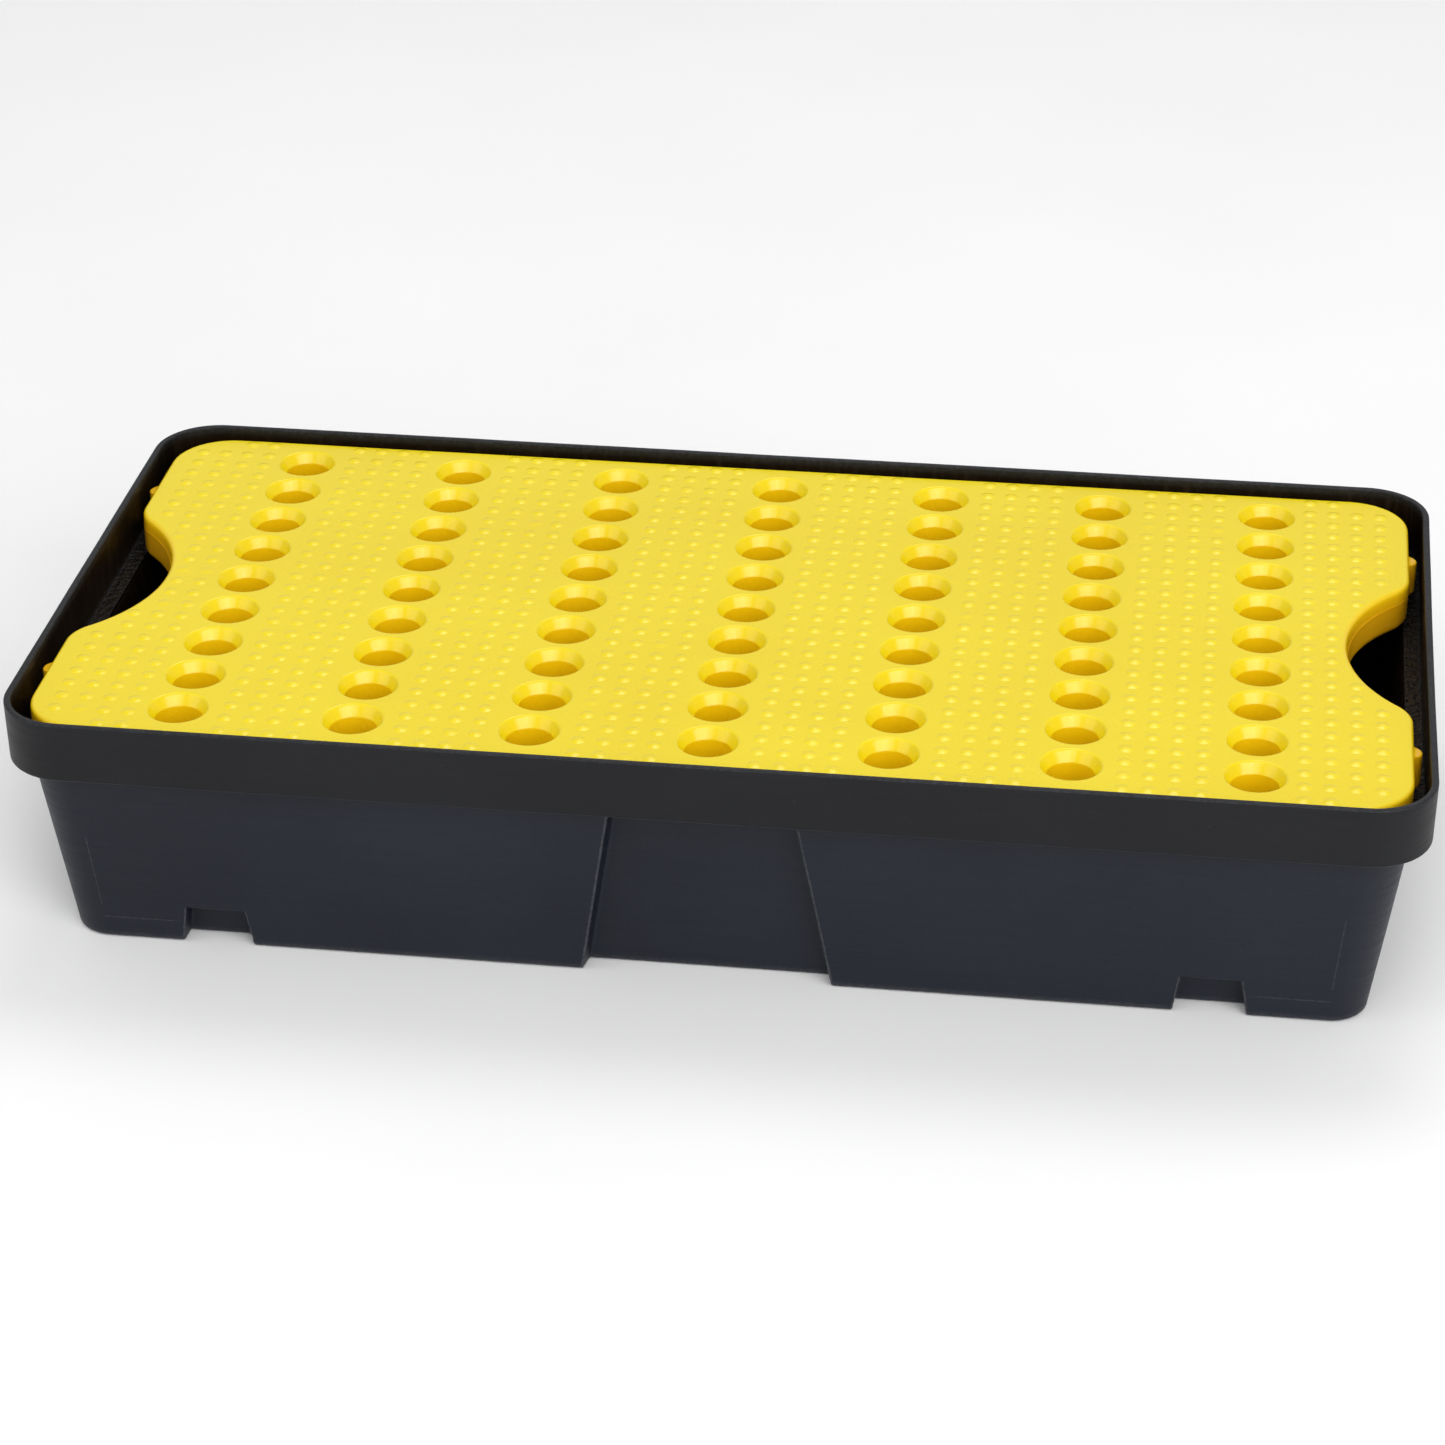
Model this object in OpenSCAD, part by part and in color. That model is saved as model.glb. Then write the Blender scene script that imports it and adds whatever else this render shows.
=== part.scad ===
// Spill containment pallet: a bunded spill tray with a lift-out deck grate.
// Millimetres. X runs along the length, Y across the width, +Z up.
// The origin is the centre of the tray's underside.

/* [Tray] */
// Overall length over the rim band
tray_l = 805; // [780:5:900]
// Overall width over the rim band
tray_w = 405; // [395:5:500]
// Overall height
tray_h = 155; // [140:1:200]
// Wall, floor and ledge thickness
wall = 4; // [3:0.5:5]
// Height of the vertical rim band
band_h = 36.5; // [34:0.5:40]
// Outside corner radius of the rim band
band_r = 38; // [34:1:44]
// How far the rim band stands out from the body below it
band_step = 12.5; // [11:0.5:15]
// Draft of each body wall, from the band down to the floor
body_draft = 16; // [8:1:20]
// Body corner radius under the band
body_r_top = 28; // [26:1:34]
// Body corner radius at the floor
body_r_foot = 22; // [20:1:26]
// Bevel round the bottom edge
foot_bevel = 2; // [1:0.5:3]

/* [Side recesses] */
// Depth of the centre panels and of the foot notches
recess_depth = 12; // [8:1:14]
// Width of a centre panel under the band
panel_w_top = 104; // [80:2:120]
// Width of a centre panel at the floor
panel_w_foot = 144; // [124:2:170]
// Distance of each foot notch from the middle of the tray
notch_x = 286; // [250:2:300]
// Width of a foot notch at the floor
notch_w_foot = 42; // [34:1:50]
// Width of a foot notch at its top
notch_w_top = 34.5; // [24:0.5:34.5]
// Height of a foot notch
notch_h = 25; // [15:1:35]

/* [Grate] */
// Length of the deck without its spacer nubs
deck_l = 779; // [760:1:780]
// Width of the deck
deck_w = 385; // [375:1:387]
// Thickness of the deck
deck_h = 27; // [24:1:29]
// Corner radius of the deck
deck_r = 36; // [34:1:42]
// Rounding of the deck's top and bottom edges
deck_edge = 4; // [2:0.5:5]
// Skin thickness of the hollow deck
skin = 3.5; // [2.5:0.5:4]

/* [Drain holes] */
// Rows of holes along the length
hole_cols = 7; // [3:2:7]
// Holes in each row across the width
hole_rows = 9; // [5:2:9]
// Pitch of the holes along the length
hole_pitch_x = 101; // [98:0.5:104]
// Pitch of the holes across the width
hole_pitch_y = 40.65; // [40:0.05:41]
// Radius of a hole's straight bore
hole_r = 13.5; // [10:0.25:14]
// Radius of a hole's countersink at the deck surface
sink_r = 17.25; // [15:0.25:18]
// Depth of the countersink
sink_depth = 6.5; // [4:0.5:8]

/* [Hand cut-outs] */
// Depth of a cut-out at the middle of each end
cutout_depth = 36; // [30:0.5:38]
// Radius of the round bottom of a cut-out
cutout_r = 97; // [90:1:104]
// Radius of the shoulders where a cut-out runs into the end edge
shoulder_r = 28; // [24:1:32]

/* [Spacer nubs] */
// Distance of each nub from the middle of an end
nub_y = 119; // [112:1:124]
// How far a nub stands out of the end face
nub_out = 5; // [3:0.5:6]
// Radius of a nub's round nose
nub_r = 6; // [5:0.5:7]
// Drop of a nub's top below the deck surface
nub_drop = 4; // [3:0.5:6]

/* [Hidden] */

$fn = 48;
// Thickness of the thin plates that a hull joins
slice_h = 0.2;
// Overrun of a long cut past the faces it opens
margin = 20;
// Overrun of a cut past a flat face that it is flush with
overcut = 1;

// Tray heights
ledge_under_z = tray_h - band_h;
ledge_z = ledge_under_z + wall;

// Grate placed at rest on the ledge
deck_top_z = ledge_z + deck_h;
sleeve_top_z = deck_top_z - sink_depth;

// Centres of the two kinds of arc that make a cut-out's outline, seen from above at the +X end.
// The arcs touch each other, and each shoulder arc is tangent to the end edge.
end_x = deck_l / 2;
bowl_x = end_x - cutout_depth + cutout_r;
shoulder_x = end_x - shoulder_r;
shoulder_y = sqrt(pow(cutout_r + shoulder_r, 2) - pow(bowl_x - shoulder_x, 2));
touch_angle = atan2(shoulder_y, bowl_x - shoulder_x);
// Straight pieces that each of those arcs is drawn with
arc_steps = 10;

// Rectangle with round corners, centred
module rounded_rect(l, w, r) {
    square([l - 2 * r, w], center = true);
    square([l, w - 2 * r], center = true);
    for (sx = [-1, 1], sy = [-1, 1])
        translate([sx * (l / 2 - r), sy * (w / 2 - r)])
            circle(r);
}

// Thin rounded plate of the body's outline at height z, drawn in by inset
module body_slice(z, inset) {
    rise = z / ledge_under_z;
    half_step = band_step + body_draft * (1 - rise) + inset;
    r = body_r_foot + (body_r_top - body_r_foot) * rise - min(inset, wall);
    translate([0, 0, z])
        linear_extrude(slice_h)
            rounded_rect(tray_l - 2 * half_step, tray_w - 2 * half_step, r);
}

// Tapered body block, drawn in by inset on every side, from height z0 to z1
module body_block(inset, z0, z1) {
    hull() {
        body_slice(z0, inset + foot_bevel);
        body_slice(z0 + foot_bevel, inset);
        body_slice(z1 - slice_h, inset);
    }
}

// Prism across the tray with a trapezoid face, widest at the floor, grown by grow
module cross_prism(w_foot, w_top, h, grow) {
    translate([0, tray_w / 2 + margin, 0])
        rotate([90, 0, 0])
            linear_extrude(tray_w + 2 * margin)
                polygon([
                    [-w_foot / 2 - grow, -overcut],
                    [w_foot / 2 + grow, -overcut],
                    [w_top / 2 + grow, h + grow],
                    [-w_top / 2 - grow, h + grow]
                ]);
}

// Room taken by the centre panels and foot notches of both long sides
module side_recesses(grow) {
    cross_prism(panel_w_foot, panel_w_top, ledge_under_z, grow);
    for (sx = [-1, 1])
        translate([sx * notch_x, 0, 0])
            cross_prism(notch_w_foot, notch_w_top, notch_h, grow);
}

// Body with its recesses, drawn in by inset, from height z0 to z1
module recessed_body(inset, z0, z1) {
    difference() {
        body_block(inset, z0, z1);
        side_recesses(inset);
    }
    body_block(inset + recess_depth, z0, z1);
}

// One outline of the rim band, drawn in by inset, from height z0 to z1
module band_block(inset, z0, z1) {
    translate([0, 0, z0])
        linear_extrude(z1 - z0)
            rounded_rect(tray_l - 2 * inset, tray_w - 2 * inset, band_r - inset);
}

module spill_tray() {
    color("#2c2e33")
        difference() {
            union() {
                recessed_body(0, 0, ledge_under_z);
                band_block(0, ledge_under_z, tray_h);
            }
            recessed_body(wall, wall, ledge_z + overcut);
            band_block(wall, ledge_z, tray_h + overcut);
        }
}

// Points of the cut-out's outline at the +X end, from the middle of the bowl round to the end
// edge on the +Y side, grown by grow
function cutout_half(grow) = concat(
    [for (i = [0:arc_steps])
        let (a = 180 - touch_angle * i / arc_steps)
            [bowl_x + (cutout_r + grow) * cos(a), (cutout_r + grow) * sin(a)]],
    [for (i = [1:arc_steps])
        let (a = touch_angle * (i / arc_steps - 1))
            [shoulder_x + (shoulder_r - grow) * cos(a), shoulder_y + (shoulder_r - grow) * sin(a)]],
    [[end_x + margin, shoulder_y]]
);

module cutout_outline(grow) {
    half = cutout_half(grow);
    last = len(half) - 1;
    polygon(concat(half, [for (i = [last:-1:1]) [half[i][0], -half[i][1]]]));
}

// Both hand cut-outs, as tall prisms
module cutouts(grow) {
    for (turn = [0, 180])
        rotate([0, 0, turn])
            translate([0, 0, ledge_z - margin])
                linear_extrude(deck_h + 2 * margin)
                    cutout_outline(grow);
}

// Deck slab with round corners and rounded top and bottom edges
module deck_slab() {
    // Each step of the rounding: how far it is from the face, and how far it is drawn in
    rounding = [[0, 1], [0.3, 0.3], [1, 0]];
    hull()
        for (step = rounding, top = [true, false]) {
            rise = deck_edge * step[0];
            inset = deck_edge * step[1];
            translate([0, 0, top ? deck_top_z - rise - slice_h : ledge_z + rise])
                linear_extrude(slice_h)
                    rounded_rect(deck_l - 2 * inset, deck_w - 2 * inset, deck_r - inset);
        }
}

// Hollow inside the deck, round the sleeves of the holes
module deck_hollow() {
    difference() {
        translate([0, 0, ledge_z + skin])
            linear_extrude(deck_h - 2 * skin)
                rounded_rect(deck_l - 2 * skin, deck_w - 2 * skin, deck_r - skin);
        cutouts(skin);
        drain_holes(skin);
    }
}

// One drain hole, or the sleeve round it when grown
module drain_hole(grow) {
    rotate_extrude()
        polygon([
            [0, ledge_z - overcut],
            [hole_r + grow, ledge_z - overcut],
            [hole_r + grow, sleeve_top_z],
            [sink_r + grow, deck_top_z],
            [sink_r + grow, deck_top_z + overcut],
            [0, deck_top_z + overcut]
        ]);
}

module drain_holes(grow) {
    mid_col = (hole_cols - 1) / 2;
    mid_row = (hole_rows - 1) / 2;
    for (col = [-mid_col:mid_col], row = [-mid_row:mid_row])
        translate([col * hole_pitch_x, row * hole_pitch_y, 0])
            drain_hole(grow);
}

// Round-nosed rib that keeps the grate off the rim band, at the +X end
module nub() {
    translate([end_x + nub_out - nub_r, 0, ledge_z + deck_edge])
        cylinder(r = nub_r, h = deck_h - deck_edge - nub_drop);
}

module grate() {
    color("#e9cb33")
        difference() {
            union() {
                deck_slab();
                for (turn = [0, 180], sy = [-1, 1])
                    rotate([0, 0, turn])
                        translate([0, sy * nub_y, 0])
                            nub();
            }
            cutouts(0);
            drain_holes(0);
            deck_hollow();
        }
}

spill_tray();
grate();
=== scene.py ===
# Looks of the spill containment pallet: a charcoal spill tray and its yellow lift-out deck grate.
import math
import random

import bpy
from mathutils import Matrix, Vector, noise
from mathutils.geometry import delaunay_2d_cdt


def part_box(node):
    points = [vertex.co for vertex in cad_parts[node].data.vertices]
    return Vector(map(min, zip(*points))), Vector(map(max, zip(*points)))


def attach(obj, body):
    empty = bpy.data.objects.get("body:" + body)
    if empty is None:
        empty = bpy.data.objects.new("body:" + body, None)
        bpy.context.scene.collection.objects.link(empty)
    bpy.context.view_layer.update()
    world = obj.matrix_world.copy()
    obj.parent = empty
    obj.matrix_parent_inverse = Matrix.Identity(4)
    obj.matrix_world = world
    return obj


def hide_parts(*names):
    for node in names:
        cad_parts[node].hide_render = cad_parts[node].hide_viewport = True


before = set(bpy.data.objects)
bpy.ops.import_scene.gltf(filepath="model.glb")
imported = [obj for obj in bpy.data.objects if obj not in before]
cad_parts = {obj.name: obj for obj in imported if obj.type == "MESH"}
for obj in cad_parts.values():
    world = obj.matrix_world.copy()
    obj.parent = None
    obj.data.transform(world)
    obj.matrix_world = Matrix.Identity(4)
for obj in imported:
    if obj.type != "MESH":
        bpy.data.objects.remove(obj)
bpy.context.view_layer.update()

# Meshes are worked out in millimetres and stored in metres.
MM = 0.001

_, tray_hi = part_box("spill_tray")
grate_lo, grate_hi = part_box("grate")

# Tray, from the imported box
RIM_X = tray_hi[0] / MM
RIM_Y = tray_hi[1] / MM
RIM_Z = tray_hi[2] / MM
BAND_H = 36.5
BAND_R = 38.0
BAND_Z = RIM_Z - BAND_H
BAND_DRAFT = 0.8
BAND_INNER_DRAFT = 0.12
BAND_UNDER_ROUND = 1.4
WALL = 4.0
LEDGE_Z = grate_lo[2] / MM
BODY_STEP = 12.5
BODY_DRAFT = 16.0
BODY_R_FOOT = 22.0
BODY_R_TOP = 28.0
FOOT_ROUND = 3.0
FLOOR_ROUND = 6.0
LIP_ROUND = 1.3
LEDGE_ROUND = 2.2
# Fillet between body and band: how far out, and how far below the band's underside
BAND_FILLET = [(0, 1.2), (0.4, 0.35), (1.3, 0)]

# Pockets pressed into both long sides: half widths at the floor and at the top, and heights
POCKET_DEPTH = 12.0
PANEL_FOOT = 72.0
PANEL_TOP = 52.0
NOTCH_X = 286.0
NOTCH_FOOT = 21.0
NOTCH_TOP = 17.25
NOTCH_H = 25.0
# Rounded ceiling of a notch: how far below its top the rounding starts, and how tall it is
CEILING_START = 1.0
CEILING_ROUND = 1.6
# Section of a pocket's side wall: distance in from its edge line, and depth there
PANEL_WALL = [
    (-1.5, 0), (-0.9, 0.02), (-0.35, 0.1), (0, 0.5), (0.25, 1.2),
    (1.6, 9.5), (2.0, 11), (2.8, 11.8), (4.2, 12),
]
NOTCH_WALL = [
    (-1.1, 0), (-0.6, 0.02), (-0.2, 0.15), (0, 0.6), (0.15, 1.5),
    (0.6, 9.8), (0.9, 11.2), (1.6, 11.9), (2.6, 12),
]

# How worn each edge looks, and how deep in a pocket its edge still looks worn
FOOT_WEAR = 0.5
POCKET_WEAR = 1.4
# The band's foot line is wear and a painted highlight along its rounding
BAND_FOOT_WEAR_AND_HIGHLIGHT = 0.85
LIP_WEAR = 0.4
LEDGE_WEAR = 0.9
EDGE_DEPTH = 1.0
# Ring of each rounding that has its worn line; on the band's foot that line is also a painted highlight
BAND_FOOT_RING = 3
LEDGE_CORNER_RING = 2
LEDGE_EDGE_RING = 1
# Faint mould seams: a level one between each notch and its corner, and an upright one there
SEAM_WEAR = 0.9
SEAM_Z = 15.0
SEAM_GAP = 0.6
SEAM_SPAN = (24.0, 74.0)
# Worn line over each notch: how far above the notch's top it is
LINTEL_UP = 0.6
# How close to a level a ring counts as lying on it
LEVEL_SLACK = 0.05

# Unevenness of the tray: depth of each kind, and the size of its patches or how far it reaches
WAVE = 0.3
WAVE_SIZE = 70.0
DIP = 0.35
DIP_REACH = 2.0
BOW = 0.8
BOW_REACH = 8.0
BURR = 0.35
BURR_SIZE = 1.7
CHIP = 0.25
CHIP_SIZE = 4.0

# Spacer nubs on the deck's ends. The points across the end are close together over the nub's
# nose and a little past it, and the next ones are NUB_ROOM from its middle.
NUB_OUT = 5.0
NUB_R = 6.0
NUB_Y = 119.0
NUB_DROP = 3.2
NUB_ROOM = 8.0
NOSE_MARGIN = 0.2

# Grate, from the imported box
END_X = grate_hi[0] / MM - NUB_OUT
SIDE_Y = grate_hi[1] / MM
DECK_Z = grate_hi[2] / MM
DECK_R = 36.0
TOP_ROUND = 2.4
BOTTOM_ROUND = 5.0

# Section of a nub's top: height over its shelf, and share of its reach there
NUB_TOP = [(-3, 1), (-0.9, 1), (-0.3, 0.93), (0, 0.75), (0.1, 0.35)]

# Hand cut-outs, and the two kinds of arc that make their outline
CUT_DEPTH = 36.0
CUT_R = 97.0
SHOULDER_R = 28.0
BOWL_X = END_X - CUT_DEPTH + CUT_R
SHOULDER_X = END_X - SHOULDER_R
SHOULDER_Y = math.sqrt((CUT_R + SHOULDER_R) ** 2 - (BOWL_X - SHOULDER_X) ** 2)
TOUCH = math.atan2(SHOULDER_Y, BOWL_X - SHOULDER_X)
# A cut-out's wall stands back above a parting line, and leans back further towards the top
PARTING_Z = DECK_Z - 9.0
CUT_BACK = 0.4
CUT_LEAN = 1.4
# Share of CUT_BACK that the wall under the parting line ends with
PARTING_SHARE = 0.4
# Section over the parting line: height over it, and share of CUT_BACK there
PARTING_SECTION = [(0.25, 0.15), (0.5, 0.6), (0.8, 1.0)]
LEAN_Z = PARTING_Z + PARTING_SECTION[-1][0]
# Flash along the parting line of the cut-outs
FLASH_CHANCE = 0.5
FLASH_REACH = 0.3
FLASH_ROOM = 2.0

# How much painted shade, a warmer orange standing in for shade and bounced light, goes on the deck's
# sides, beside the nubs' tops, on the top edge at its start, and down the sleeves of the holes
SIDE_PAINTED_SHADE = 1.0
SHELF_PAINTED_SHADE = 0.8
TOP_EDGE_PAINTED_SHADE = 0.5
HOLE_PAINTED_SHADE = 0.4

# The deck's top sinks a little between its sleeves
SAG = 0.3
SAG_REACH = 8.0
SAG_SIZE = 60.0
SAG_SLICE = 3.0

# Drain holes
HOLE_COLS = 7
HOLE_ROWS = 9
HOLE_PITCH_X = 101.0
HOLE_PITCH_Y = 40.65
HOLE_R = 13.5
SINK_R = 17.25
SINK_DEPTH = 6.5
HOLE_SEGMENTS = 40

# Anti-slip domes
DOME_R = 4.5
DOME_H = 0.95
DOME_SPREAD = (0.9, 1.05)
WORN_DOME_CHANCE = 0.02
WORN_DOME_SHARE = 0.5
DOME_GUARD = 0.1
DOME_SEGMENTS = 12
DOME_GROUPS = [50.5, 151.5, 252.5, 351.0]
DOME_OFFSETS = [-21.4, -7.1, 7.1, 21.4]
DOME_PITCH_Y = 14.83
DOME_ROWS = 26
DOME_EDGE = 7.05
# Dome section: share of its radius, and share of its height there
DOME_SECTION = [(1.0, 0.0), (0.9, 0.15), (0.7, 0.48), (0.48, 0.76), (0.24, 0.94)]

# Rings up a stretch of wall, and points along a stretch of outline
BAND_RINGS = 8
BODY_RINGS = 34
SUMP_RINGS = 9
PANEL_STEPS = 6
BETWEEN_STEPS = 18
NOTCH_STEPS = 4
BEYOND_STEPS = 6
TRAY_CORNER_STEPS = 14
TRAY_END_STEPS = 22
BOWL_STEPS = 14
SHOULDER_STEPS = 10
DECK_CORNER_STEPS = 10
DECK_SIDE_STEPS = 24
DECK_END_STEPS = 4
NOSE_STEPS = 12

# Triangulation that keeps what is inside the outline, and how close points may be to count as one
CDT_INSIDE = 1
CDT_SLACK = 1e-4
# How much larger faces lead over the small ones of roundings in the shading
FLAT_LEAD = 90

dice = random.Random(11)


def lerp(a, b, t):
    return a + (b - a) * t


def clamp(value, low=0.0, high=1.0):
    return max(low, min(high, value))


def quarter(steps):
    """Angles from 0 to a right angle."""
    return [math.pi / 2 * i / steps for i in range(steps + 1)]


class Shell:
    """Vertices and faces of one closed mesh, in millimetres, with a mark value at each vertex.

    The mark says how worn the tray is, with a painted highlight along the band's foot; on the grate it
    says how much painted shade, a warmer orange, goes deep in a hole or down a side.
    Vertices from inside_from on, if it is set, are the glossier inside of the piece; on the tray they
    also get a brown painted reflection of the yellow deck.
    """

    def __init__(self):
        self.verts = []
        self.faces = []
        self.mark = []
        self.inside_from = None

    def ring(self, points, mark=0.0):
        """Adds points (x, y, z), each with a mark of its own after z if it has one."""
        start = len(self.verts)
        self.verts.extend(p[:3] for p in points)
        self.mark.extend(max(mark, *p[3:], 0.0) for p in points)
        return list(range(start, len(self.verts)))

    def bridge(self, a, b):
        """Quads from ring a to ring b. They face along (ring direction) x (a to b)."""
        for i in range(len(a)):
            j = (i + 1) % len(a)
            self.faces.append((a[i], a[j], b[j], b[i]))

    def bridge_all(self, rings):
        for a, b in zip(rings, rings[1:]):
            self.bridge(a, b)

    def peak(self, ring, point):
        top = self.ring([point])[0]
        for i in range(len(ring)):
            self.faces.append((ring[i], ring[(i + 1) % len(ring)], top))

    def fill(self, outer, inner, up):
        """Triangles between an outer ring and the rings inside it, which stay open."""
        loops = [outer] + inner
        ids = [i for loop in loops for i in loop]
        owner = [k for k, loop in enumerate(loops) for _ in loop]
        edges = []
        for loop in loops:
            start = len(edges)
            edges += [(start + i, start + (i + 1) % len(loop)) for i in range(len(loop))]
        flat = [Vector(self.verts[i][:2]) for i in ids]
        _, _, triangles, origin, _, _ = delaunay_2d_cdt(flat, edges, [], CDT_INSIDE, CDT_SLACK)
        for tri in triangles:
            a, b, c = (origin[i][0] for i in tri)
            if owner[a] and owner[a] == owner[b] == owner[c]:
                continue
            turn = (flat[b] - flat[a]).cross(flat[c] - flat[a])
            if (turn > 0) != up:
                b, c = c, b
            self.faces.append((ids[a], ids[b], ids[c]))

    def make(self, name, material, body, node):
        """Makes the piece, which rides on its body and stands for its CAD node."""
        mesh = bpy.data.meshes.new(name)
        mesh.from_pydata([[c * MM for c in v] for v in self.verts], [], self.faces)
        mesh.polygons.foreach_set("use_smooth", [True] * len(mesh.polygons))
        mark = mesh.attributes.new("mark", "FLOAT", "POINT")
        mark.data.foreach_set("value", self.mark)
        start = len(self.verts) if self.inside_from is None else self.inside_from
        inside = mesh.attributes.new("inside", "FLOAT", "POINT")
        inside.data.foreach_set("value", [float(i >= start) for i in range(len(self.verts))])
        mesh.materials.append(material)
        piece = bpy.data.objects.new(name, mesh)
        bpy.context.scene.collection.objects.link(piece)
        piece.modifiers.new("flat_faces_lead", "WEIGHTED_NORMAL").weight = FLAT_LEAD
        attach(piece, body)
        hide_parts(node)


# ---- spill tray ----

def body_at(z, inset):
    """Half length, half width and corner radius of the tapered body at height z."""
    rise = z / BAND_Z
    step = BODY_STEP + BODY_DRAFT * (1 - rise) + inset
    radius = lerp(BODY_R_FOOT, BODY_R_TOP, rise) - inset
    return RIM_X - step, RIM_Y - step, radius


def band_size(inset):
    return RIM_X - inset, RIM_Y - inset, BAND_R - inset


def grown(size, out):
    return tuple(part + out for part in size)


def at_level(z, level):
    return abs(z - level) < LEVEL_SLACK


def wall_stations(edge, turn, section, share, outside):
    """Stations down a pocket's side wall; turn is the way that leads into the pocket."""
    wear = POCKET_WEAR * share * outside
    return [(edge + turn * s, d * share, wear * (0 < d < EDGE_DEPTH)) for s, d in section]


def flat_stations(start, stop, steps, depth=0.0, wear=0.0):
    """Stations strictly between two places."""
    return [(lerp(start, stop, i / steps), depth, wear) for i in range(1, steps)]


def half_side(z, grow, panel, notch, x_end):
    """Stations (x, depth, wear) along half a long side, from its middle to where the corner starts.

    The pockets are grown by grow; panel and notch are the shares of their depth at this height.
    """
    outside = grow == 0
    edge = lerp(PANEL_FOOT, PANEL_TOP, clamp(z / BAND_Z)) + grow
    half_notch = lerp(NOTCH_FOOT, NOTCH_TOP, clamp(z / NOTCH_H)) + grow
    near, far = NOTCH_X - half_notch, NOTCH_X + half_notch
    panel_in, panel_out = PANEL_WALL[-1][0], PANEL_WALL[0][0]
    notch_in, notch_out = NOTCH_WALL[-1][0], NOTCH_WALL[0][0]
    full, cut = POCKET_DEPTH * panel, POCKET_DEPTH * notch
    seam = SEAM_WEAR * outside * at_level(z, SEAM_Z)
    upright = SEAM_WEAR * outside * (SEAM_SPAN[0] < z < SEAM_SPAN[1])
    lintel = POCKET_WEAR * outside * at_level(z, NOTCH_H + LINTEL_UP)
    out = [(0, full, 0)] + flat_stations(0, edge - panel_in, PANEL_STEPS, full)
    out += reversed(wall_stations(edge, -1, PANEL_WALL, panel, outside))
    out += flat_stations(edge - panel_out, near + notch_out, BETWEEN_STEPS)
    out += wall_stations(near, 1, NOTCH_WALL, notch, outside)
    out += flat_stations(near + notch_in, far - notch_in, NOTCH_STEPS, cut, lintel)
    out += reversed(wall_stations(far, -1, NOTCH_WALL, notch, outside))
    before, at = x_end - 2 * SEAM_GAP, x_end - SEAM_GAP
    out += flat_stations(far - notch_out, before, BEYOND_STEPS, 0, seam)
    out += [(before, 0, seam), (at, 0, max(seam, upright)), (x_end, 0, 0)]
    return out


def corner(cx, cy, radius, start):
    """Points between the ends of a quarter turn that begins at angle start."""
    turns = [start + a for a in quarter(TRAY_CORNER_STEPS)[1:-1]]
    return [(cx + radius * math.cos(a), cy + radius * math.sin(a), 0) for a in turns]


def tray_loop(z, size, grow=0.0, panel=0.0, notch=0.0):
    """One closed outline of the tray at height z, counter-clockwise from the front left."""
    a, b, r = size
    side = half_side(z, grow, panel, notch, a - r)
    half = [(-x, d - b, w) for x, d, w in reversed(side[1:])]
    half += [(x, d - b, w) for x, d, w in side]
    half += corner(a - r, r - b, r, -math.pi / 2)
    places = [lerp(r - b, b - r, i / TRAY_END_STEPS) for i in range(TRAY_END_STEPS + 1)]
    half += [(a, y, 0) for y in places]
    half += corner(a - r, b - r, r, 0)
    return [(x, y, z, w) for x, y, w in half] + [(-x, -y, z, w) for x, y, w in half]


def notch_share(z, top):
    """1 inside a foot notch, falling to 0 over its rounded ceiling."""
    return math.sqrt(1 - clamp((z - top + CEILING_START) / CEILING_ROUND) ** 2)


def body_levels():
    """Heights of the outer body's rings, close together at the seam and the notches' ceiling."""
    seam = [SEAM_Z - SEAM_GAP, SEAM_Z, SEAM_Z + SEAM_GAP]
    below, between = [5, 7, 9, 11, 13], [17, 19, 21, 23]
    ceiling = [NOTCH_H + up for up in (-1.2, -0.7, -0.2, 0.1, 0.4, LINTEL_UP, 1.1, 3)]
    above = [lerp(ceiling[-1], BAND_Z - 3, i / BODY_RINGS) for i in range(1, BODY_RINGS + 1)]
    return below + seam + between + ceiling + above


def outer_body(shell):
    rings = []
    for t in quarter(5):
        z = FOOT_ROUND * (1 - math.cos(t))
        size = body_at(z, FOOT_ROUND * (1 - math.sin(t)))
        rings.append(shell.ring(tray_loop(z, size, 0, 1, 1), FOOT_WEAR))
    for z in body_levels():
        rings.append(shell.ring(tray_loop(z, body_at(z, 0), 0, 1, notch_share(z, NOTCH_H))))
    return rings


def band(shell):
    """Rings from the fillet under the band up its outer face."""
    rings = []
    size = body_at(BAND_Z, 0)
    for out, drop in BAND_FILLET:
        rings.append(shell.ring(tray_loop(BAND_Z - drop, grown(size, out), 0, 1)))
    for i, t in enumerate(quarter(6)):
        z = BAND_Z + BAND_UNDER_ROUND * (1 - math.cos(t))
        inset = BAND_DRAFT + BAND_UNDER_ROUND * (1 - math.sin(t))
        # Paler line along the band's foot: wear and a painted highlight
        wear = BAND_FOOT_WEAR_AND_HIGHLIGHT * (i == BAND_FOOT_RING)
        rings.append(shell.ring(tray_loop(z, band_size(inset)), wear))
    low, top = BAND_Z + BAND_UNDER_ROUND, RIM_Z - LIP_ROUND
    for i in range(1, BAND_RINGS + 1):
        share = i / BAND_RINGS
        loop = tray_loop(lerp(low, top, share), band_size(BAND_DRAFT * (1 - share)))
        rings.append(shell.ring(loop))
    return rings


def lip(shell):
    """Rings over the rounded lip of the rim."""
    rings = []
    for t in quarter(4)[1:]:
        z = RIM_Z - LIP_ROUND * (1 - math.sin(t))
        inset = LIP_ROUND * (1 - math.cos(t))
        rings.append(shell.ring(tray_loop(z, band_size(inset)), LIP_WEAR))
    for t in quarter(4):
        z = RIM_Z - LIP_ROUND * (1 - math.cos(t))
        inset = WALL - LIP_ROUND * (1 - math.sin(t))
        rings.append(shell.ring(tray_loop(z, band_size(inset)), LIP_WEAR))
    return rings


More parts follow.
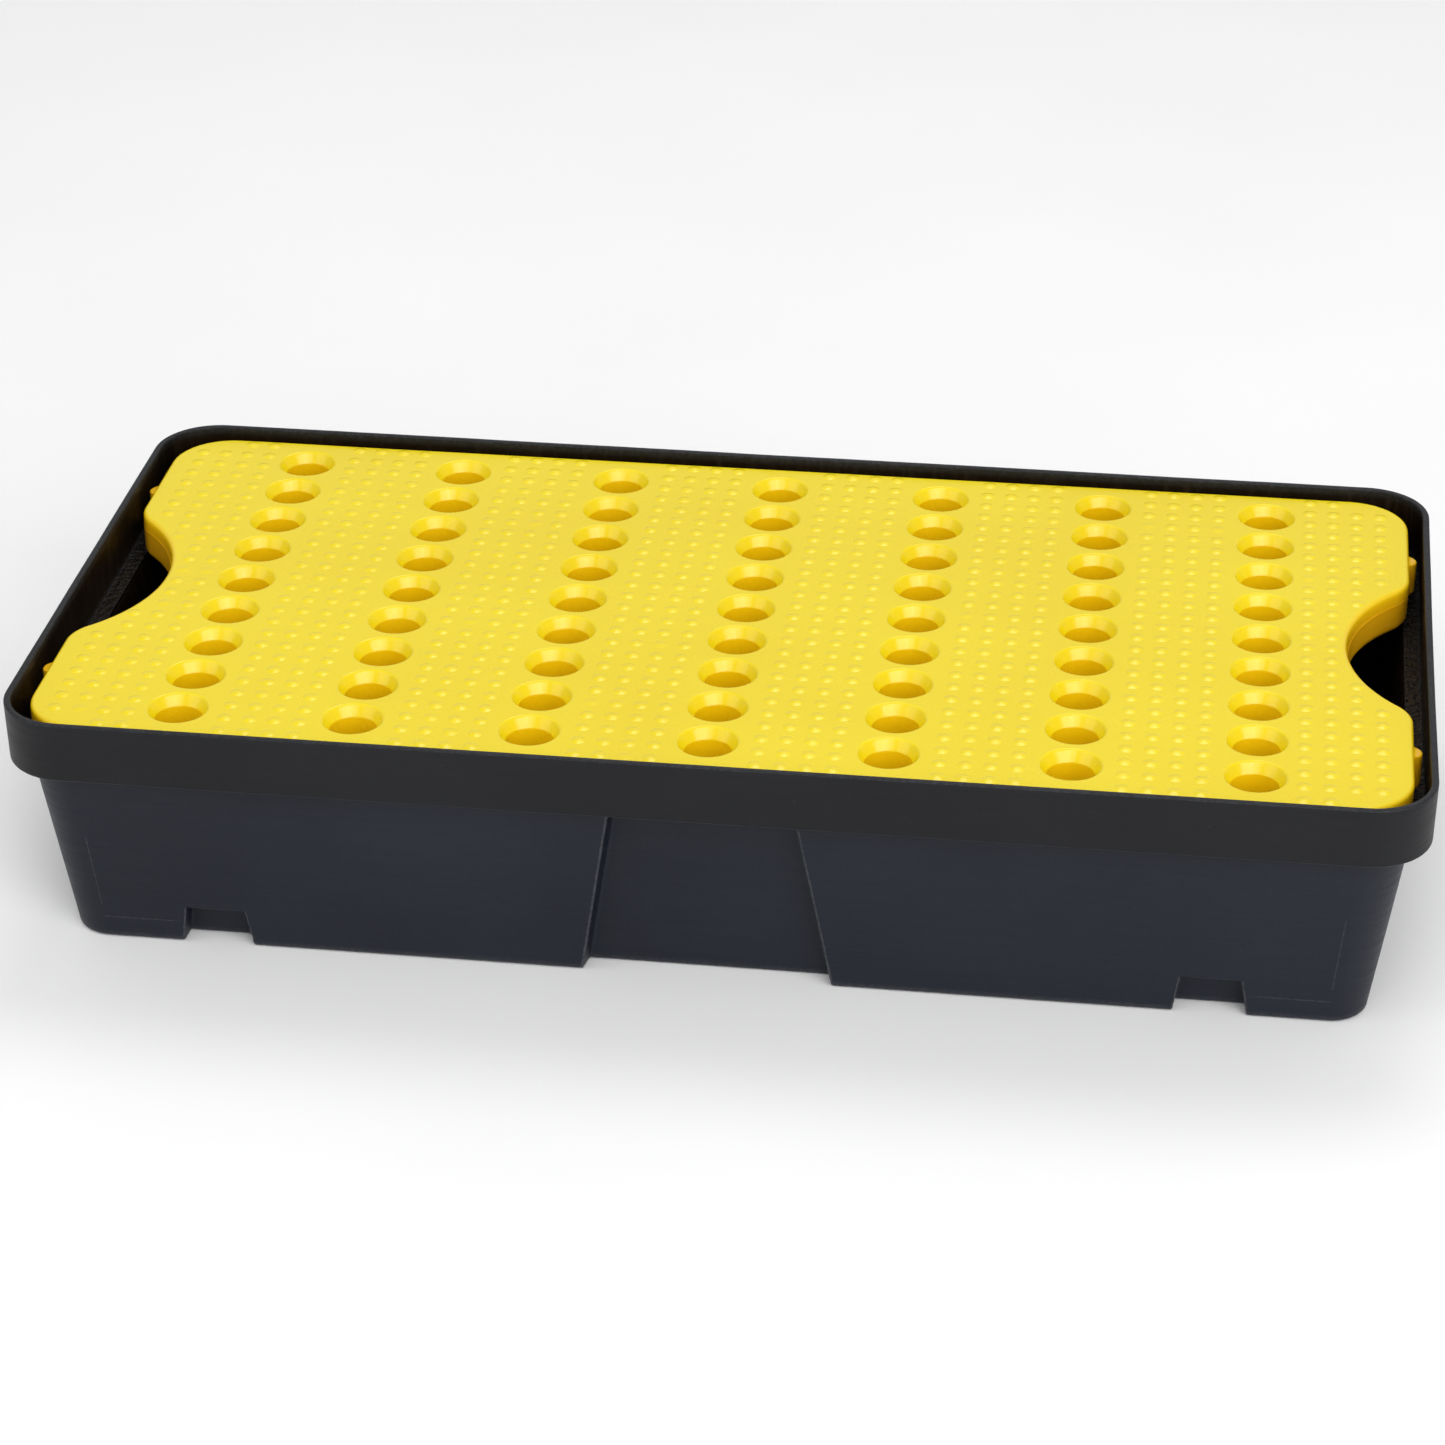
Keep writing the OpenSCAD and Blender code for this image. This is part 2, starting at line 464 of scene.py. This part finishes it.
def ledge(shell):
    """Rings down the band's inner face, out over the ledge and round its inner edge."""
    rings = []
    top, foot = RIM_Z - LIP_ROUND, LEDGE_Z + LEDGE_ROUND
    for i in range(1, 7):
        inset = WALL + BAND_INNER_DRAFT * i / 6
        rings.append(shell.ring(tray_loop(lerp(top, foot, i / 6), band_size(inset))))
    for i, t in enumerate(quarter(4)[1:]):
        z = LEDGE_Z + LEDGE_ROUND * (1 - math.sin(t))
        inset = WALL + LEDGE_ROUND * (1 - math.cos(t))
        wear = LEDGE_WEAR * (i == LEDGE_CORNER_RING)
        rings.append(shell.ring(tray_loop(z, band_size(inset)), wear))
    for i, t in enumerate(quarter(4)):
        z = LEDGE_Z - LEDGE_ROUND * (1 - math.cos(t))
        size = grown(body_at(z, WALL), LEDGE_ROUND * (1 - math.sin(t)))
        wear = LEDGE_WEAR * (i == LEDGE_EDGE_RING)
        rings.append(shell.ring(tray_loop(z, size, WALL, 1, 0), wear))
    return rings


def sump_levels():
    """Heights of the sump's rings, close together at the ceiling of the notches' inner side."""
    ceiling = NOTCH_H + WALL
    above = [lerp(LEDGE_Z - 4, ceiling + 5, i / SUMP_RINGS) for i in range(SUMP_RINGS + 1)]
    near = [ceiling + up for up in (1, 0.6, 0.3, 0, -0.4, -0.8, -1.2)]
    return above + near + [22, 16, WALL + FLOOR_ROUND]


def sump(shell):
    """Rings down the sump's wall to its floor."""
    rings = []
    for z in sump_levels():
        share = notch_share(z, NOTCH_H + WALL)
        rings.append(shell.ring(tray_loop(z, body_at(z, WALL), WALL, 1, share)))
    for t in quarter(4)[1:]:
        z = WALL + FLOOR_ROUND * (1 - math.sin(t))
        inset = WALL + FLOOR_ROUND * (1 - math.cos(t))
        rings.append(shell.ring(tray_loop(z, body_at(z, inset), WALL, 1, 1)))
    return rings


def settle_tray(shell):
    """Waviness of the moulded walls and small burrs, inwards so that the outer size stays."""
    for i, (x, y, z) in enumerate(shell.verts):
        place = Vector((x, y, z))
        wave = 0.5 + 0.5 * noise.noise(place / WAVE_SIZE)
        in_band = clamp((z - BAND_Z) / BAND_H)
        bow = BOW * clamp(1 - (y / RIM_Y) ** 2) * in_band * (x > RIM_X - BOW_REACH)
        burr = BURR * shell.mark[i] * noise.noise(place / BURR_SIZE)
        chip = CHIP * shell.mark[i] * clamp(noise.noise(place / CHIP_SIZE))
        dip = (DIP * wave + chip) * clamp((z - RIM_Z + DIP_REACH) / DIP_REACH)
        x -= math.copysign(WAVE * wave * clamp(abs(x) / RIM_X), x) + bow
        y -= math.copysign(WAVE * wave * clamp(abs(y) / RIM_Y), y)
        if z < BAND_Z:
            x += burr
        shell.verts[i] = (x, y, z - dip)


def build_tray(material):
    shell = Shell()
    outer = outer_body(shell) + band(shell) + lip(shell)
    shell.inside_from = len(shell.verts)
    rings = outer + ledge(shell) + sump(shell)
    shell.bridge_all(rings)
    shell.fill(rings[0], [], False)
    shell.fill(rings[-1], [], True)
    settle_tray(shell)
    shell.make("spill_tray_moulded", material, "tray", "spill_tray")


# ---- deck grate ----

def nub_bump(y):
    """How far a nub stands out of the end face at y."""
    reach = NUB_R ** 2 - (y - NUB_Y) ** 2
    return max(0.0, math.sqrt(max(reach, 0)) - (NUB_R - NUB_OUT))


def end_stations():
    """Places across the end edge, close together round the spacer nub."""
    stop, steps = SIDE_Y - DECK_R, DECK_END_STEPS
    before = [lerp(SHOULDER_Y, NUB_Y - NUB_ROOM, i / steps) for i in range(1, steps + 1)]
    turns = [math.pi * (i / NOSE_STEPS - 0.5) for i in range(NOSE_STEPS + 1)]
    nose = [NUB_Y + (NUB_R + NOSE_MARGIN) * math.sin(a) for a in turns]
    after = [lerp(NUB_Y + NUB_ROOM, stop, i / steps) for i in range(steps)]
    return before + nose + after


def deck_quarter(inset, nub, back):
    """Outline from the middle of a cut-out round to the middle of a long side, in the +X +Y quarter."""
    out = []
    reach = CUT_R + inset + back
    for i in range(BOWL_STEPS + 1):
        a = math.pi - TOUCH * i / BOWL_STEPS
        out.append((BOWL_X + reach * math.cos(a), reach * math.sin(a)))
    for i in range(1, SHOULDER_STEPS + 1):
        share = i / SHOULDER_STEPS
        a = TOUCH * (share - 1)
        reach = SHOULDER_R - inset - back * (1 - share)
        out.append((SHOULDER_X + reach * math.cos(a), SHOULDER_Y + reach * math.sin(a)))
    out += [(END_X - inset + nub * nub_bump(y), y) for y in end_stations()]
    cx, cy, reach = END_X - DECK_R, SIDE_Y - DECK_R, DECK_R - inset
    turns = quarter(DECK_CORNER_STEPS)
    out += [(cx + reach * math.cos(a), cy + reach * math.sin(a)) for a in turns]
    shares = [i / DECK_SIDE_STEPS for i in range(1, DECK_SIDE_STEPS + 1)]
    out += [(cx * (1 - share), SIDE_Y - inset) for share in shares]
    return out


def deck_loop(z, inset, nub=0.0, back=0.0):
    """One closed outline of the deck; nub is the share of its nubs that stands out at this height."""
    part = deck_quarter(inset, nub, back)
    half = part + [(-x, y) for x, y in reversed(part[:-1])]
    rest = [(-x, -y) for x, y in half[1:-1]]
    return [(x, y, z) for x, y in half + rest]


def cut_back(z):
    """How far a cut-out's wall stands back at height z, above its parting line."""
    return CUT_BACK + CUT_LEAN * clamp((z - LEAN_Z) / (DECK_Z - LEAN_Z)) ** 2


def near_cutout(x, y):
    return abs(y) < SHOULDER_Y and abs(x) > BOWL_X - CUT_R - FLASH_ROOM


def with_flash(loop):
    """The loop with small burrs of flash along the cut-outs, pulled towards the open side."""
    out = []
    for x, y, z in loop:
        flashed = near_cutout(x, y)
        grow = FLASH_REACH * dice.random() if flashed and dice.random() < FLASH_CHANCE else 0.0
        out.append((x + math.copysign(grow, x), y, z))
    return out


def deck_sag(x, y, z):
    """Height of a point once the deck's top has sunk a little between its sleeves."""
    share = clamp((z - DECK_Z + SAG_REACH) / SAG_REACH)
    wave = 0.5 + 0.5 * noise.noise(Vector((x / SAG_SIZE, y / SAG_SIZE, SAG_SLICE)))
    return z - SAG * wave * share


def deck_underside(shell):
    """Rings of the rounding under the deck's rim."""
    rings = []
    for t in quarter(6):
        z = LEDGE_Z + BOTTOM_ROUND * (1 - math.cos(t))
        loop = deck_loop(z, BOTTOM_ROUND * (1 - math.sin(t)), math.sin(t) ** 3)
        # Painted shade on the rounding under the rim
        rings.append(shell.ring(loop, SIDE_PAINTED_SHADE))
    return rings


def deck_sides(shell):
    """Rings up the deck's sides, over the cut-outs' parting line and the nubs' tops."""
    rings = []
    low, steps = LEDGE_Z + BOTTOM_ROUND, 4
    # Painted shade up the sides, a little less beside the nubs' tops
    for i in range(1, steps + 1):
        z = lerp(low, PARTING_Z, i / steps)
        back = CUT_BACK * PARTING_SHARE * i / steps
        rings.append(shell.ring(deck_loop(z, 0, 1, back), SIDE_PAINTED_SHADE))
    for i, (up, share) in enumerate(PARTING_SECTION):
        loop = deck_loop(PARTING_Z + up, 0, 1, CUT_BACK * share)
        rings.append(shell.ring(loop if i else with_flash(loop), SIDE_PAINTED_SHADE))
    for up, nub in NUB_TOP:
        z = DECK_Z - NUB_DROP + up
        rings.append(shell.ring(deck_loop(z, 0, nub, cut_back(z)), SHELF_PAINTED_SHADE))
    return rings


def deck_top_edge(shell):
    """Rings of the rounding round the deck's top face."""
    rings = []
    for t in quarter(6):
        z = DECK_Z - TOP_ROUND * (1 - math.sin(t))
        loop = deck_loop(z, TOP_ROUND * (1 - math.cos(t)), 0, cut_back(z))
        # Painted shade on the top edge, fading out towards the top
        rings.append(shell.ring(loop, TOP_EDGE_PAINTED_SHADE * math.cos(t)))
    return rings


def circle(x, y, z, radius, segments):
    turns = [2 * math.pi * i / segments for i in range(segments)]
    return [(x + radius * math.cos(a), y + radius * math.sin(a), z) for a in turns]


def drain_hole(shell, x, y):
    """Countersunk drain hole with its sleeve. Returns its top and bottom rings."""
    crease = DECK_Z - SINK_DEPTH
    # Radius, height and mark, the share of painted shade down the sleeve
    section = [
        (SINK_R + 1.3, DECK_Z, 0),
        (SINK_R + 0.7, DECK_Z - 0.06, 0),
        (SINK_R + 0.1, DECK_Z - 0.4, 0),
        (SINK_R - 0.5, DECK_Z - 1.05, 0),
        (HOLE_R + 0.25, crease + 0.25, 0.05),
        (HOLE_R, crease, HOLE_PAINTED_SHADE * 0.8),
        (HOLE_R - 0.05, crease - 0.35, HOLE_PAINTED_SHADE),
        (HOLE_R - 0.15, crease - 6, HOLE_PAINTED_SHADE),
        (HOLE_R - 0.25, LEDGE_Z + 1.5, HOLE_PAINTED_SHADE),
        (HOLE_R, LEDGE_Z + 0.4, HOLE_PAINTED_SHADE),
        (HOLE_R + 0.7, LEDGE_Z, HOLE_PAINTED_SHADE * 0.6),
    ]
    rings = [shell.ring(circle(x, y, z, r, HOLE_SEGMENTS), mark) for r, z, mark in section]
    shell.bridge_all(rings)
    return rings[0], rings[-1]


def dome(shell, x, y):
    """One anti-slip dome. Returns the flat ring that guards its foot."""
    height = DOME_H * dice.uniform(*DOME_SPREAD)
    if dice.random() < WORN_DOME_CHANCE:
        height *= WORN_DOME_SHARE
    rings = [shell.ring(circle(x, y, DECK_Z, DOME_R + DOME_GUARD, DOME_SEGMENTS))]
    for share, rise in DOME_SECTION:
        z = DECK_Z + height * rise
        rings.append(shell.ring(circle(x, y, z, DOME_R * share, DOME_SEGMENTS)))
    shell.bridge_all(rings)
    shell.peak(rings[-1], (x, y, DECK_Z + height))
    return rings[0]


def inside_deck(x, y):
    """Distance from a point to the nearest edge of the deck."""
    x, y = abs(x), abs(y)
    room = min(END_X - x, SIDE_Y - y, math.hypot(x - BOWL_X, y) - CUT_R - cut_back(DECK_Z))
    cx, cy = x - (END_X - DECK_R), y - (SIDE_Y - DECK_R)
    if cx > 0 and cy > 0:
        room = min(room, DECK_R - math.hypot(cx, cy))
    return room


def dome_places():
    columns = [side * group + off for side in (-1, 1) for group in DOME_GROUPS for off in DOME_OFFSETS]
    rows = [(i - (DOME_ROWS - 1) / 2) * DOME_PITCH_Y for i in range(DOME_ROWS)]
    return [(x, y) for x in columns for y in rows if inside_deck(x, y) > DOME_EDGE]


def hole_places():
    cols = [(i - (HOLE_COLS - 1) / 2) * HOLE_PITCH_X for i in range(HOLE_COLS)]
    rows = [(i - (HOLE_ROWS - 1) / 2) * HOLE_PITCH_Y for i in range(HOLE_ROWS)]
    return [(x, y) for x in cols for y in rows]


def build_grate(material):
    shell = Shell()
    rings = deck_underside(shell) + deck_sides(shell) + deck_top_edge(shell)
    shell.bridge_all(rings)
    holes = [drain_hole(shell, x, y) for x, y in hole_places()]
    domes = [dome(shell, x, y) for x, y in dome_places()]
    shell.fill(rings[-1], [top for top, _ in holes] + domes, True)
    shell.fill(rings[0], [bottom for _, bottom in holes], False)
    shell.verts = [(x, y, deck_sag(x, y, z)) for x, y, z in shell.verts]
    shell.make("deck_grate_moulded", material, "grate", "grate")


# ---- materials ----

# Colours. Where there are two, the surface is mottled between them.
YELLOW = (0.84, 0.65, 0.001), (0.87, 0.69, 0.003)
# Painted shade: the warmer orange of the deck's hollows and sides
YELLOW_PAINTED_SHADE = (0.98, 0.49, 0.006)
YELLOW_SPECK = (0.62, 0.40, 0.004)
BODY_CHARCOAL = (0.0036, 0.0058, 0.0125), (0.0066, 0.0094, 0.0175)
BAND_CHARCOAL = (0.0012, 0.0014, 0.0026), (0.0034, 0.0037, 0.0056)
# Painted reflection: a brown tint inside for the yellow deck mirrored in the dark walls
INSIDE_PAINTED_REFLECTION = (0.005, 0.0029, 0.0014)
INSIDE_STREAK = (0.026, 0.018, 0.012)
# Worn edges, and along the band's foot also a painted highlight
WORN_GREY = (0.040, 0.042, 0.050)
SCUFF_GREY = (0.045, 0.046, 0.05)
FLOOR_WHITE = (0.96, 0.96, 0.96), (0.98, 0.98, 0.98)


class Nodes:
    """Short way to write a node material."""

    def __init__(self, name):
        self.material = bpy.data.materials.new(name)
        self.material.use_nodes = True
        self.tree = self.material.node_tree
        self.shader = self.tree.nodes["Principled BSDF"]
        coordinates = self.tree.nodes.new("ShaderNodeTexCoord")
        self.place = coordinates.outputs["Object"]
        self.normal = coordinates.outputs["Normal"]

    def link(self, source, target):
        self.tree.links.new(source, target)

    def feed(self, name, value):
        """Gives the shader's input of that name a number or a socket."""
        if isinstance(value, (int, float)):
            self.shader.inputs[name].default_value = value
        else:
            self.link(value, self.shader.inputs[name])

    def noise(self, scale, detail=3.0, stretch=(1, 1, 1)):
        mapping = self.tree.nodes.new("ShaderNodeMapping")
        mapping.inputs["Scale"].default_value = stretch
        self.link(self.place, mapping.inputs["Vector"])
        node = self.tree.nodes.new("ShaderNodeTexNoise")
        node.inputs["Scale"].default_value = scale
        node.inputs["Detail"].default_value = detail
        self.link(mapping.outputs["Vector"], node.inputs["Vector"])
        return node.outputs["Fac"]

    def remap(self, value, low, high, start=0.35, stop=0.65):
        """Value from start to stop turned into low to high."""
        node = self.tree.nodes.new("ShaderNodeMapRange")
        node.inputs["From Min"].default_value = start
        node.inputs["From Max"].default_value = stop
        node.inputs["To Min"].default_value = low
        node.inputs["To Max"].default_value = high
        self.link(value, node.inputs["Value"])
        return node.outputs["Result"]

    def math(self, kind, a, b):
        node = self.tree.nodes.new("ShaderNodeMath")
        node.operation = kind
        for socket, value in zip(node.inputs, (a, b)):
            if isinstance(value, (int, float)):
                socket.default_value = value
            else:
                self.link(value, socket)
        return node.outputs[0]

    def times(self, a, b):
        return self.math("MULTIPLY", a, b)

    def mix(self, share, a, b):
        """Colour between a and b, each a colour or a socket."""
        node = self.tree.nodes.new("ShaderNodeMix")
        node.data_type = "RGBA"
        self.link(share, node.inputs[0])
        for socket, value in ((node.inputs[6], a), (node.inputs[7], b)):
            if isinstance(value, tuple):
                socket.default_value = (*value, 1.0)
            else:
                self.link(value, socket)
        return node.outputs[2]

    def attribute(self, name):
        node = self.tree.nodes.new("ShaderNodeAttribute")
        node.attribute_name = name
        return node.outputs["Fac"]

    def z_of(self, vector):
        node = self.tree.nodes.new("ShaderNodeSeparateXYZ")
        self.link(vector, node.inputs["Vector"])
        return node.outputs["Z"]

    def height(self):
        """Height above the floor, in the piece's own frame."""
        return self.z_of(self.place)

    def facing_up(self):
        """1 where the surface faces up, 0 on walls."""
        return self.remap(self.z_of(self.normal), 0, 1, start=0.6, stop=0.95)

    def bump(self, height, distance, strength, below=None):
        node = self.tree.nodes.new("ShaderNodeBump")
        node.inputs["Distance"].default_value = distance
        node.inputs["Strength"].default_value = strength
        self.link(height, node.inputs["Height"])
        if below is not None:
            self.link(below, node.inputs["Normal"])
        return node.outputs["Normal"]


def yellow_plastic():
    """Glossy moulded yellow, with a warmer orange painted shade down the sleeves and sides."""
    n = Nodes("yellow_polyethylene")
    base = n.mix(n.remap(n.noise(7, 4), 0, 1), *YELLOW)
    # Painted shade: the mark mixes the warmer orange into the hollows and down the sides
    base = n.mix(n.attribute("mark"), base, YELLOW_PAINTED_SHADE)
    speck = n.remap(n.noise(420, 2), 0, 0.2, start=0.68, stop=0.8)
    n.feed("Base Color", n.mix(speck, base, YELLOW_SPECK))
    n.feed("Roughness", n.remap(n.noise(45, 4), 0.20, 0.29))
    dents = n.bump(n.noise(90), distance=0.0004, strength=0.3)
    n.feed("Normal", n.bump(n.noise(950, 2), distance=0.00006, strength=0.4, below=dents))
    n.feed("IOR", 1.5)
    return n.material


def charcoal_colour(n):
    """Bluish body and neutral band, a brown painted reflection of the yellow deck and streaks inside,
    paler where worn or scuffed, with a painted highlight along the band's foot.
    """
    mottle = n.math("ADD", n.noise(9, 4), n.times(n.noise(480), 0.35))
    cloud = n.remap(mottle, 0, 1, start=0.5, stop=0.85)
    step, blend = BAND_Z * MM, 0.001
    in_band = n.remap(n.height(), 0, 1, start=step - blend, stop=step + blend)
    base = n.mix(in_band, n.mix(cloud, *BODY_CHARCOAL), n.mix(cloud, *BAND_CHARCOAL))
    # Painted reflection of the yellow deck: brown on the inside faces
    base = n.mix(n.attribute("inside"), base, INSIDE_PAINTED_REFLECTION)
    streaks = n.remap(n.noise(300, 4, stretch=(1, 1, 0.08)), 0, 0.6, start=0.5, stop=0.75)
    base = n.mix(n.times(n.attribute("inside"), streaks), base, INSIDE_STREAK)
    grain = n.remap(n.noise(420, 2), 0.4, 1, start=0.45, stop=0.6)
    # Paler grey where worn, and a painted highlight along the band's foot
    base = n.mix(n.times(n.attribute("mark"), grain), base, WORN_GREY)
    scuff = n.remap(n.noise(330, 5), 0, 0.4, start=0.72, stop=0.8)
    return n.mix(scuff, base, SCUFF_GREY)


def charcoal_relief(n, lines):
    """Faint level lines and a fine grain, and coarse mottling on the ledge and the sump's floor."""
    level = n.bump(lines, distance=0.0003, strength=0.1)
    flat_inside = n.times(n.attribute("inside"), n.facing_up())
    mottled = n.bump(n.times(n.noise(230, 5), flat_inside), distance=0.01, strength=1.0, below=level)
    return n.bump(n.noise(520), distance=0.0001, strength=0.5, below=mottled)


def charcoal_plastic():
    """Near-black moulded plastic, matt outside and glossier inside."""
    n = Nodes("charcoal_polyethylene")
    lines = n.noise(30, 4, stretch=(0.5, 0.5, 16))
    gloss = n.times(n.attribute("inside"), 0.17)
    n.feed("Base Color", charcoal_colour(n))
    n.feed("Roughness", n.math("SUBTRACT", n.remap(lines, 0.47, 0.55), gloss))
    n.feed("Normal", charcoal_relief(n, lines))
    n.feed("IOR", 1.5)
    n.feed("Specular IOR Level", 0.3)
    return n.material


def floor_surface():
    n = Nodes("pale_floor")
    n.feed("Base Color", n.mix(n.remap(n.noise(3), 0, 1), *FLOOR_WHITE))
    n.feed("Roughness", 0.7)
    return n.material


# ---- floor, light and camera ----

# In metres. The floor is a hair below the tray, so that the two don't share a plane.
FLOOR_HALF = 6.0
FLOOR_Z = -0.0004
# Strength of the surroundings in front of the object and behind it
WORLD_FRONT = 0.2
WORLD_BACK = 0.62
CAMERA_PLACE = (0.27763, -2.08959, 1.24055)
CAMERA_TURN = (60.9969, 0.235, 7.8251)
CAMERA_LENS = 99.85


def make_floor():
    corners = [(-1, -1), (1, -1), (1, 1), (-1, 1)]
    mesh = bpy.data.meshes.new("floor")
    mesh.from_pydata([(x * FLOOR_HALF, y * FLOOR_HALF, FLOOR_Z) for x, y in corners], [], [(0, 1, 2, 3)])
    mesh.materials.append(floor_surface())
    floor = bpy.data.objects.new("floor", mesh)
    bpy.context.scene.collection.objects.link(floor)


def area_light(name, place, target, size, watts):
    light = bpy.data.lights.new(name, "AREA")
    light.shape = "DISK"
    light.size = size
    light.energy = watts
    lamp = bpy.data.objects.new(name, light)
    lamp.location = place
    lamp.rotation_euler = (Vector(target) - Vector(place)).to_track_quat("-Z", "Y").to_euler()
    bpy.context.scene.collection.objects.link(lamp)


def make_world():
    """White surroundings, brighter behind the object than in front of it."""
    world = bpy.data.worlds.new("studio")
    world.use_nodes = True
    tree = world.node_tree
    direction = tree.nodes.new("ShaderNodeTexCoord")
    split = tree.nodes.new("ShaderNodeSeparateXYZ")
    level = tree.nodes.new("ShaderNodeMapRange")
    level.inputs["From Min"].default_value = -0.6
    level.inputs["From Max"].default_value = 0.8
    level.inputs["To Min"].default_value = WORLD_FRONT
    level.inputs["To Max"].default_value = WORLD_BACK
    tree.links.new(direction.outputs["Generated"], split.inputs["Vector"])
    tree.links.new(split.outputs["Y"], level.inputs["Value"])
    tree.links.new(level.outputs["Result"], tree.nodes["Background"].inputs["Strength"])
    tree.nodes["Background"].inputs["Color"].default_value = (1, 1, 1, 1)
    bpy.context.scene.world = world


def make_light():
    make_world()
    middle = (0, 0, 0.1)
    area_light("key_right", (2.8, -3.6, 2.4), middle, size=4.2, watts=150)
    area_light("softbox_front", (0.3, -4.4, 4.8), middle, size=4.2, watts=120)
    area_light("fill_left", (-4.2, -2.4, 3.2), middle, size=5.0, watts=80)
    area_light("overhead_back", (0.2, 1.7, 3.6), (0.1, 0.9, 0), size=2.0, watts=30)


def make_camera():
    """Camera at the viewing angle: just right of the front, looking 29 degrees down."""
    data = bpy.data.cameras.new("camera")
    data.lens = CAMERA_LENS
    data.sensor_width = 36
    camera = bpy.data.objects.new("camera", data)
    camera.location = CAMERA_PLACE
    camera.rotation_euler = [math.radians(turn) for turn in CAMERA_TURN]
    bpy.context.scene.collection.objects.link(camera)
    bpy.context.scene.camera = camera


make_camera()
make_light()
make_floor()
build_tray(charcoal_plastic())
build_grate(yellow_plastic())
bpy.context.scene.view_settings.view_transform = "Standard"
